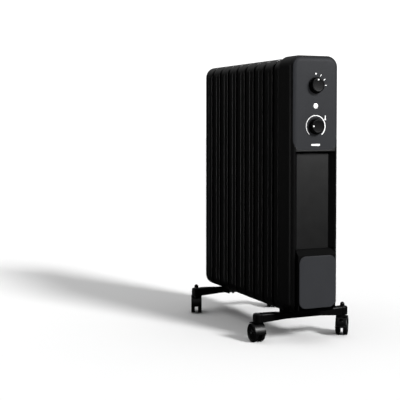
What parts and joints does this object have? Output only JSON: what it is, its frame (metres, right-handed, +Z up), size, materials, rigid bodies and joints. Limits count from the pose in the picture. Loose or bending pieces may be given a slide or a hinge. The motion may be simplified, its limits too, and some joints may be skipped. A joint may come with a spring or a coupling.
{
  "type": "oil filled radiator heater",
  "caption": "Free-standing oil filled column heater: pressed fins, front control housing with two knobs, cord storage door and swivel casters.",
  "frame": {"origin": "on the floor, under the middle of the heater's bounding box", "axes": "+Z up, the control panel faces -Y, +X to the viewer's right when facing the panel"},
  "size_m": [0.2516, 0.47, 0.622],
  "materials": {
    "fin_enamel": "satin black enamel",
    "bare_steel": "zinc plated",
    "element_steel": "stainless sheath",
    "brass": "turned",
    "housing_black": "fine moulded texture",
    "panel_grey": "satin dark grey",
    "knob_black": "satin black",
    "lens_white": "opal",
    "lamp_glass": "clear",
    "switch_resin": "ivory resin",
    "gland_rubber": "ribbed",
    "wire_sleeve": "glass braid",
    "bar_enamel": "satin black",
    "caster_black": "satin nylon",
    "tread_black": "smooth tread"
  },
  "bodies": {
    "heater": {"fin_1": "fin_enamel", "fin_2": "fin_enamel", "fin_3": "fin_enamel", "fin_4": "fin_enamel", "fin_5": "fin_enamel", "fin_6": "fin_enamel", "fin_7": "fin_enamel", "fin_8": "fin_enamel", "fin_9": "fin_enamel", "heating_element": "element_steel", "element_flange": "brass", "oil_fill_plug": "bare_steel", "heat_shield": "bare_steel", "shield_studs": "bare_steel", "shield_nuts": "bare_steel", "housing_shell": "housing_black", "control_panel": "panel_grey", "housing_screws": "bare_steel", "indicator_lens": "lens_white", "indicator_lamp": "lamp_glass", "mode_switch": "switch_resin", "thermostat_body": "switch_resin", "cord_tub": "housing_black", "door_pin": "bare_steel", "tub_screws": "bare_steel", "cord_gland": "gland_rubber", "gland_nut": "caster_black", "terminal_block": "switch_resin", "thermal_cutout": "bare_steel", "internal_wiring": "wire_sleeve", "front_foot_bar": "bar_enamel", "rear_foot_bar": "bar_enamel", "u_bolts": "bare_steel", "wing_nuts": "bare_steel", "caster_stems": "bare_steel", "stem_caps": "bar_enamel"},
    "mode_control": {"mode_knob": "knob_black", "mode_shaft": "bare_steel"},
    "thermostat_control": {"thermostat_knob": "knob_black", "thermostat_shaft": "bare_steel"},
    "storage_door": {"cord_door": "panel_grey"},
    "caster_front_left": {"caster_front_left_fork": "caster_black"},
    "wheels_front_left": {"caster_front_left_wheel_a": "tread_black", "caster_front_left_wheel_b": "tread_black", "caster_front_left_axle": "bare_steel"},
    "caster_front_right": {"caster_front_right_fork": "caster_black"},
    "wheels_front_right": {"caster_front_right_wheel_a": "tread_black", "caster_front_right_wheel_b": "tread_black", "caster_front_right_axle": "bare_steel"},
    "brake_front_right": {"brake_pedal_front_right": "caster_black"},
    "caster_rear_left": {"caster_rear_left_fork": "caster_black"},
    "wheels_rear_left": {"caster_rear_left_wheel_a": "tread_black", "caster_rear_left_wheel_b": "tread_black", "caster_rear_left_axle": "bare_steel"},
    "brake_rear_left": {"brake_pedal_rear_left": "caster_black"},
    "caster_rear_right": {"caster_rear_right_fork": "caster_black"},
    "wheels_rear_right": {"caster_rear_right_wheel_a": "tread_black", "caster_rear_right_wheel_b": "tread_black", "caster_rear_right_axle": "bare_steel"}
  },
  "joints": [
    {"name": "mode_knob_turn", "type": "hinge", "parent": "heater", "child": "mode_control", "pos_m": [0, -0.2236, 0.558], "axis": [0, 1, 0], "range_deg": [0, 90]},
    {"name": "thermostat_knob_turn", "type": "hinge", "parent": "heater", "child": "thermostat_control", "pos_m": [0, -0.2236, 0.47], "axis": [0, 1, 0], "range_deg": [-50, 230]},
    {"name": "door_swing", "type": "hinge", "parent": "heater", "child": "storage_door", "pos_m": [0, -0.2286, 0.084], "axis": [1, 0, 0], "range_deg": [0, 95]},
    {"name": "swivel_front_left", "type": "hinge", "parent": "heater", "child": "caster_front_left", "pos_m": [-0.107, -0.163, 0.044], "axis": [0, 0, 1], "continuous": true},
    {"name": "roll_front_left", "type": "hinge", "parent": "caster_front_left", "child": "wheels_front_left", "pos_m": [-0.107, -0.155, 0.0205], "axis": [1, 0, 0], "continuous": true},
    {"name": "swivel_front_right", "type": "hinge", "parent": "heater", "child": "caster_front_right", "pos_m": [0.107, -0.163, 0.044], "axis": [0, 0, 1], "continuous": true},
    {"name": "roll_front_right", "type": "hinge", "parent": "caster_front_right", "child": "wheels_front_right", "pos_m": [0.10207, -0.1693, 0.0205], "axis": [-0.788, 0.6157, 0], "continuous": true},
    {"name": "brake_front_right_press", "type": "hinge", "parent": "caster_front_right", "child": "brake_front_right", "pos_m": [0.09142, -0.18294, 0.0378], "axis": [0.788, -0.6157, 0], "range_deg": [0, 17]},
    {"name": "swivel_rear_left", "type": "hinge", "parent": "heater", "child": "caster_rear_left", "pos_m": [-0.107, 0.1768, 0.044], "axis": [0, 0, 1], "continuous": true},
    {"name": "roll_rear_left", "type": "hinge", "parent": "caster_rear_left", "child": "wheels_rear_left", "pos_m": [-0.10387, 0.18416, 0.0205], "axis": [0.9205, -0.3907, 0], "continuous": true},
    {"name": "brake_rear_left_press", "type": "hinge", "parent": "caster_rear_left", "child": "brake_rear_left", "pos_m": [-0.09712, 0.20009, 0.0378], "axis": [-0.9205, 0.3907, 0], "range_deg": [0, 17]},
    {"name": "swivel_rear_right", "type": "hinge", "parent": "heater", "child": "caster_rear_right", "pos_m": [0.107, 0.1768, 0.044], "axis": [0, 0, 1], "continuous": true},
    {"name": "roll_rear_right", "type": "hinge", "parent": "caster_rear_right", "child": "wheels_rear_right", "pos_m": [0.104, 0.16938, 0.0205], "axis": [-0.9272, 0.3746, 0], "continuous": true}
  ]
}
